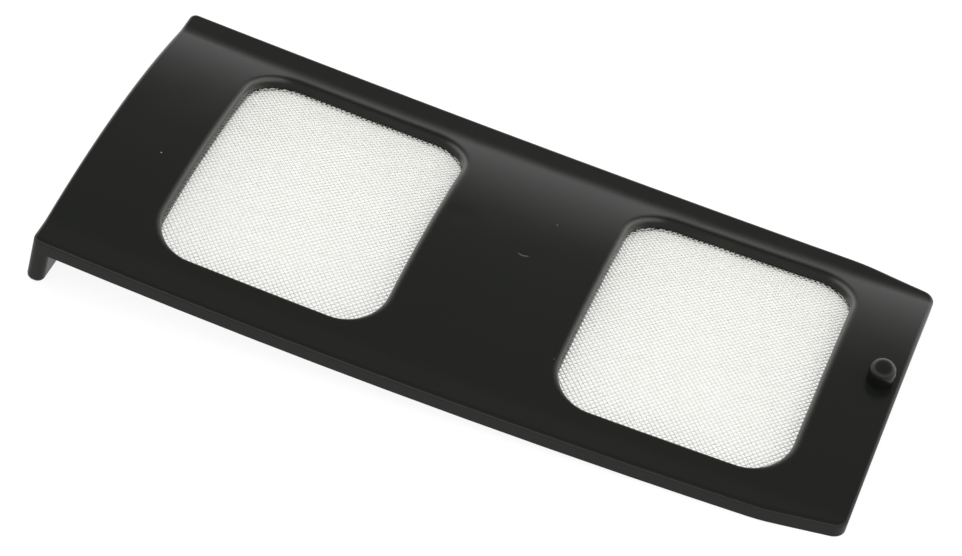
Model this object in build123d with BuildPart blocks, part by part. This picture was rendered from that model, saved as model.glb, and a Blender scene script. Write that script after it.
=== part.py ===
"""Kettle limescale filter: a black moulded frame that holds two panels of fine white mesh.

X runs along the filter from its hooked end to its free end, Y across it and Z up.
Zero is the middle of the plan, level with the foot of the hook. All sizes are in millimetres.
"""
import os
from math import asin, degrees, sqrt

from build123d import *

# Plan of the frame: nearly parallel sides that draw in towards the free end
length = 86.4
width = 40.5
middle_draw_in = 0.05
shoulder_draw_in = 0.75
tip_draw_in = 2.05
lead_in_length = 8.2
shoulder_radius = 20.0
tip_corner_radius = 1.4

# Windows, one near each end
window_length = 24.7
side_rail = 4.95
window_corner_radius = 4.6
window_from_hook_end = 10.45
window_from_tip = 7.75
lip_radius = 0.35

# Section of the frame: an arch over the windows between two flat rims, bowed along its length
wall = 1.8
arch_land = 1.75
arch_rise = 2.15
crease_radius = 7.0
bow_depth = 0.9
edge_radius = 0.5

# Hook under one end: it leans out, so that its foot stands beyond the plate, and the rounding of
# its corners takes no more than a share of its thickness
hook_height = 6.2
hook_thickness = 1.9
hook_lean = 0.5
hook_corner_radius = 0.8
hook_corner_share = 0.43
foot_land = 0.1

# Mesh panels, moulded into a groove low in the wall of each window
mesh_thickness = 0.25
mesh_floor = 0.25
mesh_border = 0.7
mesh_pitch = 2.8
mesh_strand = 0.95
mesh_turn = 45.0

# Pip on the free end
pip_diameter = 2.8
pip_height = 2.4
pip_crown_radius = 1.25
pip_from_tip = 2.2
pip_offset = 0.9

# Sizes that follow from the ones above
window_width = width - 2 * side_rail
lean_slope = hook_lean / hook_height
foot_spread = lean_slope + sqrt(1 + lean_slope**2)
hook_rounding = min(hook_corner_radius, hook_corner_share * hook_thickness)
foot_radius = (hook_rounding - foot_land) / foot_spread
foot_inset = foot_radius * (foot_spread - 1)
tip_end = (length + hook_lean - foot_inset) / 2
hook_end = tip_end - length
foot_end = hook_end - hook_lean
middle = (tip_end + hook_end) / 2
middle_rim_height = hook_height - bow_depth
bow_radius = ((length / 2) ** 2 + bow_depth**2) / (2 * bow_depth)
arch_foot = window_width / 2 + arch_land
arch_radius = (arch_foot**2 + arch_rise**2) / (2 * arch_rise)
arch_centre = arch_rise - arch_radius
window_centres = [
    hook_end + window_from_hook_end + window_length / 2,
    tip_end - window_from_tip - window_length / 2,
]

# Room left for trimming, how closely an edge is picked by its place, how far up a side may face,
# and where the sides stand before they are trimmed
trim = 2.0
pick = 0.01
side_tilt = 0.2
rough_side = width / 2 + trim

# Planes of the cross section and of the hook's foot, and the far axis that the section turns about
section_plane = Plane((middle, 0, middle_rim_height), x_dir=(0, 1, 0), z_dir=(1, 0, 0))
middle_plane = Plane.YZ.offset(middle)
foot_plane = Plane((foot_end, 0, 0), x_dir=(0, 1, 0), z_dir=(1, 0, 0))
bow_axis = Axis((middle, 0, middle_rim_height + bow_radius), (0, 1, 0))
bow_angle = degrees(asin((length / 2 + hook_lean + trim) / bow_radius))
model_height = hook_height + arch_rise + pip_height + trim


def arch_level(depth, across):
    """Level in the section of a layer this deep in the arch, at this place across it."""
    return arch_centre + sqrt((arch_radius - depth) ** 2 - across**2)


def crown_height(station):
    """Height of the top of the arch at this place along the filter."""
    return middle_rim_height + bow_radius - sqrt((bow_radius - arch_rise) ** 2 - (station - middle) ** 2)


def on_a_lip(edge):
    """True for the top edges of the windows."""
    place = edge.center()
    across = abs(place.Y) < window_width / 2 + pick
    along = [abs(place.X - centre) < window_length / 2 + pick for centre in window_centres]
    fall = arch_rise - arch_level(wall / 2, place.Y)
    return across and any(along) and place.Z > crown_height(place.X) - fall


def on_a_hook_corner(edge):
    """True for the steep edges at the corners of the hook."""
    steep = abs((edge @ 1).Z - (edge @ 0).Z) > wall
    return steep and edge.center().X < hook_end + hook_thickness + pick


def mesh_sheet(centre, top_depth, under_depth):
    """A sheet that lies in the arch between two depths, cut to the outline of one panel."""
    side = window_width / 2 + mesh_border + trim
    with BuildPart() as sheet:
        with BuildSketch(section_plane):
            with BuildLine():
                top_corner = (side, arch_level(top_depth, side))
                under_corner = (side, arch_level(under_depth, side))
                top = ThreePointArc(top_corner, (0, arch_rise - top_depth), (-side, top_corner[1]))
                under = ThreePointArc(under_corner, (0, arch_rise - under_depth), (-side, under_corner[1]))
                Line(top @ 0, under @ 0)
                Line(top @ 1, under @ 1)
            make_face()
        revolve(axis=bow_axis, revolution_arc=bow_angle)
        mirror(about=middle_plane)
        with BuildSketch():
            with Locations((centre, 0)):
                RectangleRounded(
                    window_length + 2 * mesh_border,
                    window_width + 2 * mesh_border,
                    window_corner_radius + mesh_border,
                )
        extrude(amount=model_height, mode=Mode.INTERSECT)
    return sheet.part


def mesh_gaps(centre):
    """Places of the gaps of the weave, which is turned, that lie clear of a window's walls."""
    step = mesh_pitch / sqrt(2)
    reach = (mesh_pitch - mesh_strand) / sqrt(2)
    room_along = (window_length - mesh_strand) / 2 - reach
    room_across = (window_width - mesh_strand) / 2 - reach
    room_at_corner = room_along + room_across + reach - window_corner_radius * (2 - sqrt(2))
    count = int(window_width / step)
    places = []
    for row in range(-count, count + 1):
        for column in range(-count, count + 1):
            along = (row - column) * step
            across = (row + column) * step
            fits = abs(along) < room_along and abs(across) < room_across
            if fits and abs(along) + abs(across) < room_at_corner:
                places.append((centre + along, across))
    return places


mesh_under = wall - mesh_floor
mesh_top = mesh_under - mesh_thickness
mesh_sheets = [mesh_sheet(centre, mesh_top, mesh_under) for centre in window_centres]

# Wall of the hook, arched on top like the plate, with its inner face leaning as its outer one
with BuildPart() as hook:
    with BuildSketch(foot_plane):
        with BuildLine():
            root = hook_height - wall / 2
            Polyline((-arch_foot, root), (-rough_side, root), (-rough_side, 0), (rough_side, 0))
            Polyline((rough_side, 0), (rough_side, root), (arch_foot, root))
            ThreePointArc((arch_foot, root), (0, root + arch_rise), (-arch_foot, root))
        make_face()
    extrude(amount=hook_thickness + model_height * lean_slope)
    with BuildSketch(Plane.XZ):
        with BuildLine():
            inside_foot = foot_end + hook_thickness
            inside_top = inside_foot + lean_slope * model_height
            Polyline((inside_foot, 0), (inside_top, model_height), (inside_top, 0), close=True)
        make_face()
    extrude(amount=width, both=True, mode=Mode.SUBTRACT)
hook_wall = hook.part

# Frame: the plate and the hook are trimmed to the plan, then rounded and pierced
with BuildPart() as frame:
    # Plate: the arched wall is turned about the far axis, which gives it its bow
    with BuildSketch(section_plane) as wall_section:
        with BuildLine():
            under_foot = sqrt((arch_radius - wall) ** 2 - (wall + arch_centre) ** 2)
            Polyline((-arch_foot, 0), (-rough_side, 0), (-rough_side, -wall), (-under_foot, -wall))
            ThreePointArc((-under_foot, -wall), (0, arch_rise - wall), (under_foot, -wall))
            Polyline((under_foot, -wall), (rough_side, -wall), (rough_side, 0), (arch_foot, 0))
            ThreePointArc((arch_foot, 0), (0, arch_rise), (-arch_foot, 0))
        make_face()
        inner_corners = wall_section.vertices().filter_by(lambda v: abs(v.X) < rough_side - pick)
        fillet(inner_corners.filter_by(lambda v: v.Y > -pick), crease_radius)
        inner_corners = wall_section.vertices().filter_by(lambda v: abs(v.X) < rough_side - pick)
        fillet(inner_corners.filter_by(lambda v: v.Y < pick - wall), crease_radius + wall)
    revolve(axis=bow_axis, revolution_arc=bow_angle)
    mirror(about=middle_plane)

    # Hook: a leaning wall that drops from inside the plate's thickness to its foot
    add(hook_wall)

    # Plan: the free end is drawn in so that it finds its way into the kettle's slots
    with BuildSketch() as plan:
        with BuildLine():
            foot_edge = Line((foot_end, -width / 2), (foot_end, width / 2))
            shoulder = (tip_end - lead_in_length, width / 2 - shoulder_draw_in)
            far_side = ThreePointArc(foot_edge @ 1, (middle, width / 2 - middle_draw_in), shoulder)
            far_lead = Line(far_side @ 1, (tip_end, width / 2 - tip_draw_in))
            tip_edge = Line(far_lead @ 1, (tip_end, tip_draw_in - width / 2))
            near_lead = Line(tip_edge @ 1, (shoulder[0], -shoulder[1]))
            ThreePointArc(near_lead @ 1, (middle, middle_draw_in - width / 2), foot_edge @ 0)
        make_face()
        fillet(plan.vertices().group_by(Axis.X)[1], shoulder_radius)
        fillet(plan.vertices().group_by(Axis.X)[-1], tip_corner_radius)
    extrude(amount=model_height, mode=Mode.INTERSECT)

    # The plate's end leans with the hook
    with BuildSketch(Plane.XZ):
        with BuildLine():
            lean_top = foot_end + lean_slope * model_height
            Polyline((foot_end, 0), (foot_end, model_height), (lean_top, model_height), close=True)
        make_face()
    extrude(amount=width, both=True, mode=Mode.SUBTRACT)

    # Rounded corners and foot of the hook
    fillet(frame.edges().filter_by(on_a_hook_corner), hook_rounding)
    fillet(frame.faces().sort_by(Axis.Z)[0].edges(), foot_radius)

    # Rounded top edge all round the plate
    top_edges = frame.faces().filter_by(lambda f: f.normal_at().Z > side_tilt).edges()
    side_edges = frame.faces().filter_by(lambda f: abs(f.normal_at().Z) < side_tilt).edges()
    fillet([edge for edge in top_edges if edge in side_edges], edge_radius)

    # Windows with rounded lips, and the grooves that the edges of the mesh are moulded into
    with BuildSketch():
        with Locations(*[(centre, 0) for centre in window_centres]):
            RectangleRounded(window_length, window_width, window_corner_radius)
    extrude(amount=model_height, mode=Mode.SUBTRACT)
    fillet(frame.edges().filter_by(on_a_lip), lip_radius)
    add(mesh_sheets, mode=Mode.SUBTRACT)

    # Pip: a stud with a crowned head
    pip_station = tip_end - pip_from_tip
    with BuildSketch(Plane.XY.offset(crown_height(pip_station) + pip_height)):
        with Locations((pip_station, pip_offset)):
            Circle(pip_diameter / 2)
    extrude(amount=-pip_height - wall / 2)
    fillet(frame.faces().sort_by(Axis.Z)[-1].edges(), pip_crown_radius)

# Mesh panels: the weave of each sheet is opened into gaps between crossing strands
with BuildPart() as hook_end_mesh:
    add(mesh_sheets[0])
    with BuildSketch():
        with Locations(*mesh_gaps(window_centres[0])):
            Rectangle(mesh_pitch - mesh_strand, mesh_pitch - mesh_strand, rotation=mesh_turn)
    extrude(amount=model_height, mode=Mode.SUBTRACT)

with BuildPart() as free_end_mesh:
    add(mesh_sheets[1])
    with BuildSketch():
        with Locations(*mesh_gaps(window_centres[1])):
            Rectangle(mesh_pitch - mesh_strand, mesh_pitch - mesh_strand, rotation=mesh_turn)
    extrude(amount=model_height, mode=Mode.SUBTRACT)

frame.part.label = "frame"
hook_end_mesh.part.label = "hook_end_mesh"
free_end_mesh.part.label = "free_end_mesh"

os.makedirs("parts", exist_ok=True)
export_step(frame.part, "parts/frame.step")
export_step(hook_end_mesh.part, "parts/hook_end_mesh.step")
export_step(free_end_mesh.part, "parts/free_end_mesh.step")
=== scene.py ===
"""Kettle limescale filter: a black moulded frame with two panels of white woven mesh, on a white table."""
from math import radians

import bpy
import numpy as np
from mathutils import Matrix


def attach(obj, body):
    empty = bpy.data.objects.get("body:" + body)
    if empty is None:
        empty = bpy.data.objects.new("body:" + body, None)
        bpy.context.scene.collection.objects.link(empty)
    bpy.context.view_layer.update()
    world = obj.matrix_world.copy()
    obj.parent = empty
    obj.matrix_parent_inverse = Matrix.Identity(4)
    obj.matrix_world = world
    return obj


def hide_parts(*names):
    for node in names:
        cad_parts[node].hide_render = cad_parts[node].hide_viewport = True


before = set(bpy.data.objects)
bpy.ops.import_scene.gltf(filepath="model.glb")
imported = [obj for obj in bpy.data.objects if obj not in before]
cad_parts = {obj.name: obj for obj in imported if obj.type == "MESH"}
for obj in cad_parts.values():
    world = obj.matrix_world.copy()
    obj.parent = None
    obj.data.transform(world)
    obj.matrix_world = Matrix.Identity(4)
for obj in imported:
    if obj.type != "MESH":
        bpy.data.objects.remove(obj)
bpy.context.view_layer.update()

# Frame
# One moulding of black semi-gloss plastic: arched plate, hook, windows and pip in a single shot.
# The polished mould leaves it shiny with a faint flow texture, a gate mark and a little dust.
half_length = 0.0432
bow_middle = 0.000223
rim_height = 0.0053
bow_depth = 0.0009
bow_radius = (half_length**2 + bow_depth**2) / (2 * bow_depth)
arch_rise = 0.00215
arch_foot = 0.01705
arch_radius = (arch_foot**2 + arch_rise**2) / (2 * arch_rise)
crease_radius = 0.007
plate_wall = 0.0018
skin_tolerance = 0.00001
skin_facing = 0.8

plastic_black = (0.0076, 0.0087, 0.0067, 1.0)
plastic_dust = (0.32, 0.31, 0.29, 1.0)
# Painted highlight: the pale colour laid on the rounded lips at the ends of the windows
lip_painted_highlight = (0.085, 0.088, 0.080, 1.0)
plastic_ior = 1.49
fade_in = (0.0, 1.0)
fade_out = (1.0, 0.0)
flow_scale = 70.0
flow_detail = 3.0
flow_span = (0.3, 0.75)
flow_share = 0.25
polish_span = (0.17, 0.27)
grain_scale = 3200.0
grain_detail = 2.0
grain_share = 0.02
window_reach = (0.0375, 0.0162)
window_fade = 0.0006
wall_steepness = (0.4, 0.75)
wall_roughness = 0.42
dust_scale = 260.0
dust_speck = (0.018, 0.03)
dust_patch_scale = 160.0
dust_patch_detail = 1.0
dust_patch_span = (0.52, 0.6)
gate_mark_place = (0.00256, 0.00093, 0.0074)
gate_mark_size = (0.00065, 0.0003, 0.0008)
gate_mark_edge = (0.55, 1.15)
gate_mark_depth = 1.6
sink_mark_place = (-0.00538, 0.0032, 0.0072)
sink_mark_radius = 0.0022
sink_mark_depth = 1.2
relief_strength = 0.35
relief_height = 0.00012
lip_rounding = 0.0012
lip_samples = 8
lip_turn_span = (0.04, 0.2)
# Spans of the painted highlight on the lips, set by how the rounded normal turns
lip_highlight_along_span = (0.2, 0.5)
lip_highlight_upper_span = (0.3, 0.55)

plastic = bpy.data.materials.new("moulded_black_plastic")
plastic.use_nodes = True
plastic_nodes = plastic.node_tree.nodes
plastic_links = plastic.node_tree.links
plastic_shader = plastic_nodes["Principled BSDF"]
plastic_shader.inputs["IOR"].default_value = plastic_ior
plastic_place = plastic_nodes.new("ShaderNodeTexCoord").outputs["Object"]
plastic_normal = plastic_nodes.new("ShaderNodeNewGeometry").outputs["Normal"]


def plastic_noise(name, scale, detail):
    """A noise over the moulding, in its own place in space."""
    noise = plastic_nodes.new("ShaderNodeTexNoise")
    noise.name = name
    noise.inputs["Scale"].default_value = scale
    noise.inputs["Detail"].default_value = detail
    plastic_links.new(plastic_place, noise.inputs["Vector"])
    return noise.outputs["Fac"]


def plastic_range(value, span, results):
    """A value brought smoothly from one range to another."""
    fade = plastic_nodes.new("ShaderNodeMapRange")
    fade.interpolation_type = "SMOOTHSTEP"
    fade.inputs["From Min"].default_value, fade.inputs["From Max"].default_value = span
    fade.inputs["To Min"].default_value, fade.inputs["To Max"].default_value = results
    plastic_links.new(value, fade.inputs["Value"])
    return fade.outputs["Result"]


def plastic_sum(first, second, operation="ADD"):
    """Two values put together by one operation."""
    step = plastic_nodes.new("ShaderNodeMath")
    step.operation = operation
    for value, socket in zip((first, second), step.inputs):
        if isinstance(value, float):
            socket.default_value = value
        else:
            plastic_links.new(value, socket)
    return step.outputs["Value"]


def plastic_within(value, limit, fade):
    """One where a value lies within a limit of zero, falling to nothing just outside it."""
    return plastic_range(plastic_sum(value, 0.0, "ABSOLUTE"), (limit, limit + fade), fade_out)


def plastic_vector(operation, first, second=(0.0, 0.0, 0.0)):
    """A vector put together with a fixed one by one operation."""
    step = plastic_nodes.new("ShaderNodeVectorMath")
    step.operation = operation
    step.inputs[1].default_value = second
    plastic_links.new(first, step.inputs[0])
    return step.outputs


def plastic_parts(vector):
    """The parts of a vector along, across and up."""
    split = plastic_nodes.new("ShaderNodeSeparateXYZ")
    plastic_links.new(vector, split.inputs["Vector"])
    return split.outputs


# Polish: the upright far and near walls of the windows are blasted, the rest is as the mould left it
flow_patches = plastic_noise("flow_patches", flow_scale, flow_detail)
mould_grain = plastic_noise("mould_grain", grain_scale, grain_detail)
place_parts = plastic_parts(plastic_place)
facing_parts = plastic_parts(plastic_normal)
window_along = plastic_within(place_parts["X"], window_reach[0], window_fade)
window_across = plastic_within(place_parts["Y"], window_reach[1], window_fade)
window_mask = plastic_sum(window_along, window_across, "MULTIPLY")
wall_steep = plastic_range(plastic_sum(facing_parts["Y"], 0.0, "ABSOLUTE"), wall_steepness, fade_in)
wall_mask = plastic_sum(window_mask, wall_steep, "MULTIPLY")
wall_blast = plastic_sum(wall_mask, wall_roughness, "MULTIPLY")
polish = plastic_range(flow_patches, flow_span, polish_span)
plastic_links.new(plastic_sum(polish, wall_blast), plastic_shader.inputs["Roughness"])

# Specks of dust
dust_cells = plastic_nodes.new("ShaderNodeTexVoronoi")
dust_cells.inputs["Scale"].default_value = dust_scale
plastic_links.new(plastic_place, dust_cells.inputs["Vector"])
dust_near = plastic_range(dust_cells.outputs["Distance"], dust_speck, fade_out)
dust_patches = plastic_noise("dust_where", dust_patch_scale, dust_patch_detail)
dust_where = plastic_range(dust_patches, dust_patch_span, fade_in)
dust_mix = plastic_nodes.new("ShaderNodeMix")
dust_mix.data_type = "RGBA"
dust_mix.inputs["A"].default_value = plastic_black
dust_mix.inputs["B"].default_value = plastic_dust
plastic_links.new(plastic_sum(dust_near, dust_where, "MULTIPLY"), dust_mix.inputs["Factor"])

# Relief: grain and flow of the plastic, the pit at the gate and a shallow sink mark
gate_offset = plastic_vector("SUBTRACT", plastic_place, gate_mark_place)["Vector"]
gate_scaled = plastic_vector("DIVIDE", gate_offset, gate_mark_size)["Vector"]
gate_reach = plastic_vector("LENGTH", gate_scaled)["Value"]
gate_pit = plastic_range(gate_reach, gate_mark_edge, (-gate_mark_depth, 0.0))
sink_reach = plastic_vector("DISTANCE", plastic_place, sink_mark_place)["Value"]
sink_bowl = plastic_range(sink_reach, (0.0, sink_mark_radius), (-sink_mark_depth, 0.0))
grain_height = plastic_sum(mould_grain, grain_share, "MULTIPLY")
flow_height = plastic_sum(flow_patches, flow_share, "MULTIPLY")
marks_height = plastic_sum(gate_pit, sink_bowl)
plastic_bump = plastic_nodes.new("ShaderNodeBump")
plastic_bump.inputs["Strength"].default_value = relief_strength
plastic_bump.inputs["Distance"].default_value = relief_height
plastic_height = plastic_sum(plastic_sum(grain_height, flow_height), marks_height)
plastic_links.new(plastic_height, plastic_bump.inputs["Height"])

# Lips of the windows: rounded in their shading, with a painted highlight, a paler colour, on the rounded
# edge at the ends of each window
lip_bevel = plastic_nodes.new("ShaderNodeBevel")
lip_bevel.samples = lip_samples
lip_bevel.inputs["Radius"].default_value = lip_rounding
lip_parts = plastic_parts(lip_bevel.outputs["Normal"])
lip_turn = plastic_sum(lip_parts["Y"], facing_parts["Y"], "SUBTRACT")
lip_mask = plastic_sum(window_mask, plastic_range(lip_turn, lip_turn_span, fade_out), "MULTIPLY")
lip_highlight_along = plastic_range(plastic_sum(lip_parts["X"], 0.0, "ABSOLUTE"), lip_highlight_along_span, fade_in)
lip_highlight_upper = plastic_range(lip_parts["Z"], lip_highlight_upper_span, fade_in)
lip_highlight_mask = plastic_sum(plastic_sum(lip_highlight_along, lip_highlight_upper, "MULTIPLY"), window_mask, "MULTIPLY")
# The pale colour mixed in here is a painted highlight on the lip edges
lip_highlight_mix = plastic_nodes.new("ShaderNodeMix")
lip_highlight_mix.data_type = "RGBA"
lip_highlight_mix.inputs["B"].default_value = lip_painted_highlight
plastic_links.new(lip_highlight_mask, lip_highlight_mix.inputs["Factor"])
plastic_links.new(dust_mix.outputs["Result"], lip_highlight_mix.inputs["A"])
plastic_links.new(lip_highlight_mix.outputs["Result"], plastic_shader.inputs["Base Color"])
lip_normal = plastic_nodes.new("ShaderNodeMix")
lip_normal.data_type = "VECTOR"
plastic_links.new(lip_mask, lip_normal.inputs["Factor"])
plastic_links.new(plastic_normal, lip_normal.inputs["A"])
plastic_links.new(lip_bevel.outputs["Normal"], lip_normal.inputs["B"])
plastic_links.new(lip_normal.outputs["Result"], plastic_bump.inputs["Normal"])
plastic_links.new(plastic_bump.outputs["Normal"], plastic_shader.inputs["Normal"])

frame_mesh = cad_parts["frame"].data
frame_mesh.materials.clear()
frame_mesh.materials.append(plastic)


def skin_slope(across, inset):
    """Level and slope across the filter of the moulding's upper skin, or of the one a wall below it."""
    reach = np.abs(across)
    crease_across = np.sqrt(2 * (arch_radius + crease_radius) * arch_rise - arch_rise**2)
    crease_start = crease_across * (arch_radius - inset) / (arch_radius + crease_radius)
    on_arch = reach < crease_start
    on_crease = ~on_arch & (reach < crease_across)
    arch_side = np.sqrt((arch_radius - inset) ** 2 - np.where(on_arch, reach, 0.0) ** 2)
    crease_reach = np.where(on_crease, crease_across - reach, 0.0)
    crease_side = np.sqrt((crease_radius + inset) ** 2 - crease_reach**2)
    level = np.where(on_arch, arch_rise - arch_radius + arch_side, crease_radius - crease_side)
    slope = np.where(on_arch, -reach / arch_side, -crease_reach / crease_side)
    return level, slope * np.sign(across)


def frame_values(items, name, kind=float, width=1):
    """One value of each corner, vertex or face of the frame's mesh, in rows where it has several parts."""
    values = np.empty(len(items) * width, dtype=kind)
    items.foreach_get(name, values)
    return values.reshape(-1, width) if width > 1 else values


# Each corner on the upper or the lower skin takes the skin's true normal, so that it shades evenly
corner_vertex = frame_values(frame_mesh.loops, "vertex_index", int)
corner_place = frame_values(frame_mesh.vertices, "co", width=3)[corner_vertex]
corner_normal = frame_values(frame_mesh.corner_normals, "vector", width=3)
face_corners = frame_values(frame_mesh.polygons, "loop_total", int)
face_normal = np.repeat(frame_values(frame_mesh.polygons, "normal", width=3), face_corners, axis=0)
towards_axis = np.zeros_like(corner_place)
towards_axis[:, 0] = bow_middle - corner_place[:, 0]
towards_axis[:, 2] = rim_height + bow_radius - corner_place[:, 2]
axis_distance = np.linalg.norm(towards_axis, axis=1)
for inset, outward in ((0.0, 1.0), (plate_wall, -1.0)):
    level, slope = skin_slope(corner_place[:, 1], inset)
    skin_normal = towards_axis / axis_distance[:, None]
    skin_normal[:, 1] -= slope
    skin_normal *= outward / np.linalg.norm(skin_normal, axis=1)[:, None]
    on_skin = np.abs(bow_radius - level - axis_distance) < skin_tolerance
    faces_out = (face_normal * skin_normal).sum(axis=1) > skin_facing
    corner_normal[on_skin & faces_out] = skin_normal[on_skin & faces_out]
frame_mesh.normals_split_custom_set(corner_normal.tolist())

# Mesh panels
# Fine cloth of white nylon threads in a plain weave, set askew so that the threads run corner to
# corner. It was laid in the mould, and the frame's plastic was shot round its edge.
cloth_nodes = {"hook_end_mesh": -0.020177, "free_end_mesh": 0.023323}
cloth_depth = 0.001425
cloth_tuck = 0.0002
window_half = (0.01235, 0.0153)
window_corner = 0.0046
thread_pitch = 0.00042
thread_radius = 0.000076
thread_sides = 5
thread_steps = 220
shortest_thread = 4
wide_slack = 0.00005
wide_waves = (410, 130, 330)
wide_shift = 0.6
narrow_slack = 0.000025
narrow_waves = (930, 610, 820, 240)
narrow_shift = 1.1
slow_drift = 0.00003
slow_waves = 300
slow_shift = 0.37
quick_drift = 0.00002
quick_waves = 1100

nylon_dull = (0.90, 0.91, 0.815, 1.0)
nylon_bright = (0.96, 0.97, 0.885, 1.0)
nylon_patch_scale = 240.0
nylon_patch_detail = 3.0
nylon_roughness = 0.42
nylon_ior = 1.53
nylon_scatter = 0.8
nylon_scatter_colours = (1.0, 1.0, 1.0)
nylon_scatter_depth = 0.0004


def cloth_level(across, along):
    """Height of the middle of the cloth, which is arched across the filter and bowed along it."""
    arch = arch_rise - arch_radius + np.sqrt((arch_radius - cloth_depth) ** 2 - across**2)
    return rim_height + bow_radius - np.sqrt((bow_radius - arch) ** 2 - (along - bow_middle) ** 2)


def cloth_slack(across, along):
    """Slight hollows and swellings of cloth that was not pulled quite evenly."""
    wide = np.sin(along * wide_waves[0] + across * wide_waves[1])
    wide = wide * np.cos(across * wide_waves[2] - wide_shift)
    narrow = np.sin(along * narrow_waves[0] - across * narrow_waves[1] + narrow_shift)
    narrow = narrow * np.sin(across * narrow_waves[2] + along * narrow_waves[3])
    return wide_slack * wide + narrow_slack * narrow


def inside_window(along, across):
    """How far a place lies inside the rounded window, below zero where it lies outside it."""
    reach_along = window_half[0] + cloth_tuck - np.abs(along)
    reach_across = window_half[1] + cloth_tuck - np.abs(across)
    reach = np.stack([reach_along, reach_across])
    corner = window_corner + cloth_tuck
    in_corner = (reach < corner).all(axis=0)
    return np.where(in_corner, corner - np.hypot(*(corner - reach)), reach.min(axis=0))


def weave_thread(centre, way, number, points, faces):
    """One thread of the cloth, over and under the ones it crosses, as a closed tube."""
    steps = np.arange(-thread_steps, thread_steps + 1)
    run = steps * thread_pitch / 2
    drift = slow_drift * np.sin(run * slow_waves + number * slow_shift)
    drift = drift + quick_drift * np.sin(run * quick_waves + number)
    aside = number * thread_pitch + drift
    diagonal = np.sqrt(0.5)
    along = (run - way * aside) * diagonal
    across = (way * run + aside) * diagonal
    kept = np.flatnonzero(inside_window(along, across) > 0)
    if len(kept) < shortest_thread:
        return
    along, across, steps = centre + along[kept], across[kept], steps[kept]
    wave = np.where(steps % 2 == 0, np.where((steps // 2 + number) % 2 == 0, 1.0, -1.0), 0.0)
    height = cloth_level(across, along) + cloth_slack(across, along) + wave * way * thread_radius
    thickness = np.full(len(kept), thread_radius)
    thickness[[0, -1]] = 0.0
    turn = np.linspace(0, 2 * np.pi, thread_sides, endpoint=False)
    sideways = np.array([-way * diagonal, diagonal, 0.0])
    ring = np.cos(turn)[:, None] * sideways + np.sin(turn)[:, None] * np.array([0.0, 0.0, 1.0])
    line = np.stack([along, across, height], axis=1)
    start = sum(len(part) for part in points)
    points.append((line[:, None, :] + thickness[:, None, None] * ring[None, :, :]).reshape(-1, 3))
    rows = np.arange(len(line) - 1)[:, None] * thread_sides
    next_rows = rows + thread_sides
    side = np.arange(thread_sides)[None, :]
    beside = (side + 1) % thread_sides
    quads = np.stack([rows + side, rows + beside, next_rows + beside, next_rows + side], axis=2)
    faces.append(quads.reshape(-1, 4) + start)


def weave_panel(name, centre):
    """The cloth of one window."""
    points, faces = [], []
    most = int((window_half[0] + window_half[1]) / thread_pitch)
    for way in (1, -1):
        for number in range(-most, most + 1):
            weave_thread(centre, way, number, points, faces)
    corners = np.concatenate(points)
    quads = np.concatenate(faces)
    data = bpy.data.meshes.new(name)
    data.vertices.add(len(corners))
    data.vertices.foreach_set("co", corners.ravel())
    data.loops.add(quads.size)
    data.loops.foreach_set("vertex_index", quads.ravel())
    data.polygons.add(len(quads))
    data.polygons.foreach_set("loop_start", np.arange(0, quads.size, quads.shape[1]))
    data.polygons.foreach_set("use_smooth", np.ones(len(quads), dtype=bool))
    data.update(calc_edges=True)
    data.validate()
    panel = bpy.data.objects.new(name, data)
    bpy.context.collection.objects.link(panel)
    return panel


nylon = bpy.data.materials.new("white_nylon_thread")
nylon.use_nodes = True
nylon_nodes = nylon.node_tree.nodes
nylon_links = nylon.node_tree.links
nylon_shader = nylon_nodes["Principled BSDF"]
nylon_shader.inputs["Roughness"].default_value = nylon_roughness
nylon_shader.inputs["IOR"].default_value = nylon_ior
nylon_shader.inputs["Subsurface Weight"].default_value = nylon_scatter
nylon_shader.inputs["Subsurface Radius"].default_value = nylon_scatter_colours
nylon_shader.inputs["Subsurface Scale"].default_value = nylon_scatter_depth
nylon_place = nylon_nodes.new("ShaderNodeTexCoord").outputs["Object"]
nylon_patches = nylon_nodes.new("ShaderNodeTexNoise")
nylon_patches.inputs["Scale"].default_value = nylon_patch_scale
nylon_patches.inputs["Detail"].default_value = nylon_patch_detail
nylon_links.new(nylon_place, nylon_patches.inputs["Vector"])
nylon_colour = nylon_nodes.new("ShaderNodeMix")
nylon_colour.data_type = "RGBA"
nylon_colour.inputs["A"].default_value = nylon_dull
nylon_colour.inputs["B"].default_value = nylon_bright
nylon_links.new(nylon_patches.outputs["Fac"], nylon_colour.inputs["Factor"])
nylon_links.new(nylon_colour.outputs["Result"], nylon_shader.inputs["Base Color"])

for node, centre in cloth_nodes.items():
    panel = weave_panel("woven_" + node, centre)
    panel.data.materials.append(nylon)
    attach(panel, "root")
    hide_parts(node)

# Table
# A white table top under the filter, which stands on the foot of its hook and the edge of its free
# end, so the table leans a little against the filter's own level. It is not part of the filter.
table_lean = radians(2.94)
table_middle = 0.00216
table_half = 3.0
top_white = (0.86, 0.86, 0.86, 1.0)
top_shadow = (0.16, 0.16, 0.16, 1.0)
top_glow_strength = 0.9
top_mirror_front = -0.02
top_mirror_beyond = 0.05
top_mirror_dim = 0.5
top_mirror_bright = 1.0

table_data = bpy.data.meshes.new("table_top")
table_corners = [
    (-table_half, -table_half, 0),
    (table_half, -table_half, 0),
    (table_half, table_half, 0),
    (-table_half, table_half, 0),
]
table_data.from_pydata(table_corners, [], [(0, 1, 2, 3)])
table = bpy.data.objects.new("table_top", table_data)
bpy.context.collection.objects.link(table)
table.location = (0, 0, table_middle)
table.rotation_euler = (0, -table_lean, 0)

white_top = bpy.data.materials.new("white_table")
white_top.use_nodes = True
top_nodes = white_top.node_tree.nodes
top_links = white_top.node_tree.links
top_nodes.remove(top_nodes["Principled BSDF"])
top_output = top_nodes["Material Output"]
top_rays = top_nodes.new("ShaderNodeLightPath")

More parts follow.
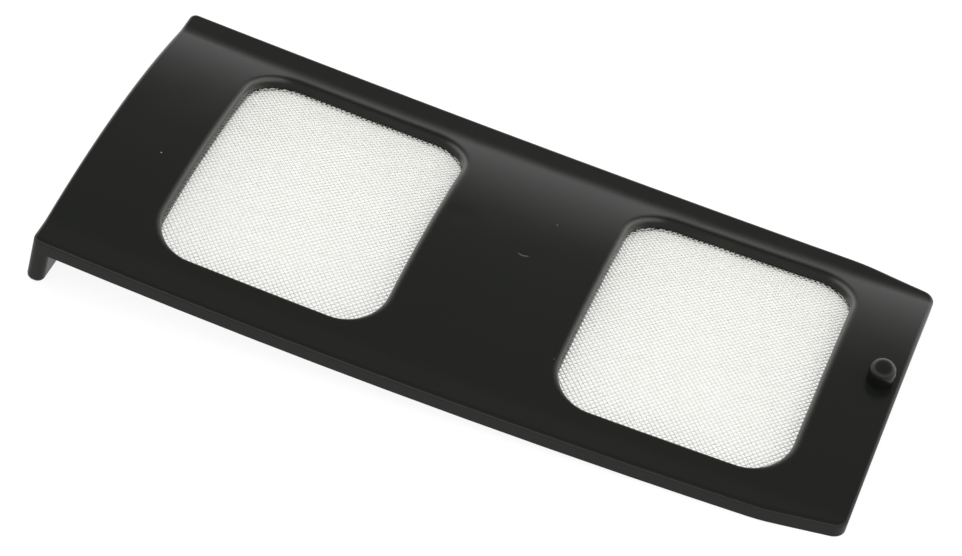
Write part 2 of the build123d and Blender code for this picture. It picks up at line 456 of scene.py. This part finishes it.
# What the eye sees: a white glow, with the soft shadow of the filter in it
top_glow = top_nodes.new("ShaderNodeEmission")
top_glow.inputs["Strength"].default_value = top_glow_strength
top_shade = top_nodes.new("ShaderNodeBsdfDiffuse")
top_shade.inputs["Color"].default_value = top_shadow
top_seen = top_nodes.new("ShaderNodeAddShader")
top_links.new(top_glow.outputs["Emission"], top_seen.inputs[0])
top_links.new(top_shade.outputs["BSDF"], top_seen.inputs[1])

# What the filter sees: white paint, and in its gloss a table that brightens away from the front
top_paint = top_nodes.new("ShaderNodeBsdfDiffuse")
top_paint.inputs["Color"].default_value = top_white
top_place = top_nodes.new("ShaderNodeTexCoord")
top_split = top_nodes.new("ShaderNodeSeparateXYZ")
top_depth = top_nodes.new("ShaderNodeMapRange")
top_depth.interpolation_type = "SMOOTHSTEP"
top_depth.inputs["From Min"].default_value = top_mirror_front
top_depth.inputs["From Max"].default_value = top_mirror_beyond
top_depth.inputs["To Min"].default_value = top_mirror_dim
top_depth.inputs["To Max"].default_value = top_mirror_bright
top_mirrored = top_nodes.new("ShaderNodeEmission")
top_links.new(top_place.outputs["Object"], top_split.inputs["Vector"])
top_links.new(top_split.outputs["Y"], top_depth.inputs["Value"])
top_links.new(top_depth.outputs["Result"], top_mirrored.inputs["Strength"])
top_gloss = top_nodes.new("ShaderNodeMixShader")
top_links.new(top_rays.outputs["Is Glossy Ray"], top_gloss.inputs["Fac"])
top_links.new(top_paint.outputs["BSDF"], top_gloss.inputs[1])
top_links.new(top_mirrored.outputs["Emission"], top_gloss.inputs[2])

top_direct = top_nodes.new("ShaderNodeMath")
top_direct.operation = "MAXIMUM"
top_links.new(top_rays.outputs["Is Camera Ray"], top_direct.inputs[0])
top_links.new(top_rays.outputs["Is Transmission Ray"], top_direct.inputs[1])
top_mix = top_nodes.new("ShaderNodeMixShader")
top_links.new(top_direct.outputs["Value"], top_mix.inputs["Fac"])
top_links.new(top_gloss.outputs["Shader"], top_mix.inputs[1])
top_links.new(top_seen.outputs["Shader"], top_mix.inputs[2])

# From below the table is clear, so that the underside of the filter can be looked at
top_clear = top_nodes.new("ShaderNodeBsdfTransparent")
top_back = top_nodes.new("ShaderNodeNewGeometry")
top_sides = top_nodes.new("ShaderNodeMixShader")
top_links.new(top_back.outputs["Backfacing"], top_sides.inputs["Fac"])
top_links.new(top_mix.outputs["Shader"], top_sides.inputs[1])
top_links.new(top_clear.outputs["BSDF"], top_sides.inputs[2])
top_links.new(top_sides.outputs["Shader"], top_output.inputs["Surface"])
table_data.materials.append(white_top)

# Room and lamps
# A white cove that is bright near the table and falls off to a dark ceiling, with one large soft
# lamp over the far left corner and a weaker one at the right.
cove_white = (1.0, 1.0, 1.0, 1.0)
cove_foot = 0.12
cove_head = 0.62
cove_bright = 1.08
cove_dark = 0.22
room_level = 0.9
room_seen_level = 1.0
lamp_size = 0.5
key_place = (-0.45, 0.35, 0.75)
key_power = 2.5
fill_place = (0.6, -0.1, 0.6)
fill_power = 1.2

room = bpy.data.worlds.new("white_cove")
bpy.context.scene.world = room
room.use_nodes = True
room_nodes = room.node_tree.nodes
room_links = room.node_tree.links
room_back = room_nodes["Background"]
room_back.inputs["Color"].default_value = cove_white
room_way = room_nodes.new("ShaderNodeTexCoord")
room_split = room_nodes.new("ShaderNodeSeparateXYZ")
room_fall = room_nodes.new("ShaderNodeMapRange")
room_fall.interpolation_type = "SMOOTHSTEP"
room_fall.inputs["From Min"].default_value = cove_foot
room_fall.inputs["From Max"].default_value = cove_head
room_fall.inputs["To Min"].default_value = cove_bright
room_fall.inputs["To Max"].default_value = cove_dark
room_links.new(room_way.outputs["Generated"], room_split.inputs["Vector"])
room_links.new(room_split.outputs["Z"], room_fall.inputs["Value"])
room_rays = room_nodes.new("ShaderNodeLightPath")
room_gloss = room_nodes.new("ShaderNodeMix")
room_gloss.inputs["A"].default_value = room_level
room_links.new(room_rays.outputs["Is Glossy Ray"], room_gloss.inputs["Factor"])
room_links.new(room_fall.outputs["Result"], room_gloss.inputs["B"])
room_direct = room_nodes.new("ShaderNodeMath")
room_direct.operation = "MAXIMUM"
room_links.new(room_rays.outputs["Is Camera Ray"], room_direct.inputs[0])
room_links.new(room_rays.outputs["Is Transmission Ray"], room_direct.inputs[1])
room_seen = room_nodes.new("ShaderNodeMix")
room_seen.inputs["B"].default_value = room_seen_level
room_links.new(room_direct.outputs["Value"], room_seen.inputs["Factor"])
room_links.new(room_gloss.outputs["Result"], room_seen.inputs["A"])
room_links.new(room_seen.outputs["Result"], room_back.inputs["Strength"])


def soft_lamp(name, place, power):
    """A square soft lamp that faces the filter and leaves no mirror image in it."""
    lamp = bpy.data.lights.new(name, "AREA")
    lamp.shape = "SQUARE"
    lamp.size = lamp_size
    lamp.energy = power
    holder = bpy.data.objects.new(name, lamp)
    bpy.context.collection.objects.link(holder)
    holder.location = place
    holder.visible_glossy = False
    along, across, up = place
    holder.rotation_euler = (np.arctan2(np.hypot(along, across), up), 0.0, np.arctan2(along, -across))


soft_lamp("key_lamp", key_place, key_power)
soft_lamp("fill_lamp", fill_place, fill_power)

# Camera
# A long lens in front of the filter, above it and a little to its right, held a little askew.
camera_place = (0.0489303, -0.2450736, 0.2414991)
camera_turn = (45.6995, -8.8505, 20.0714)
camera_sensor = 36.0
camera_lens = 124.39
camera_near = 0.01

camera_data = bpy.data.cameras.new("camera")
camera_data.sensor_width = camera_sensor
camera_data.lens = camera_lens
camera_data.clip_start = camera_near
camera = bpy.data.objects.new("camera", camera_data)
bpy.context.collection.objects.link(camera)
camera.location = camera_place
camera.rotation_euler = [radians(angle) for angle in camera_turn]
bpy.context.scene.camera = camera
bpy.context.scene.view_settings.view_transform = "Standard"
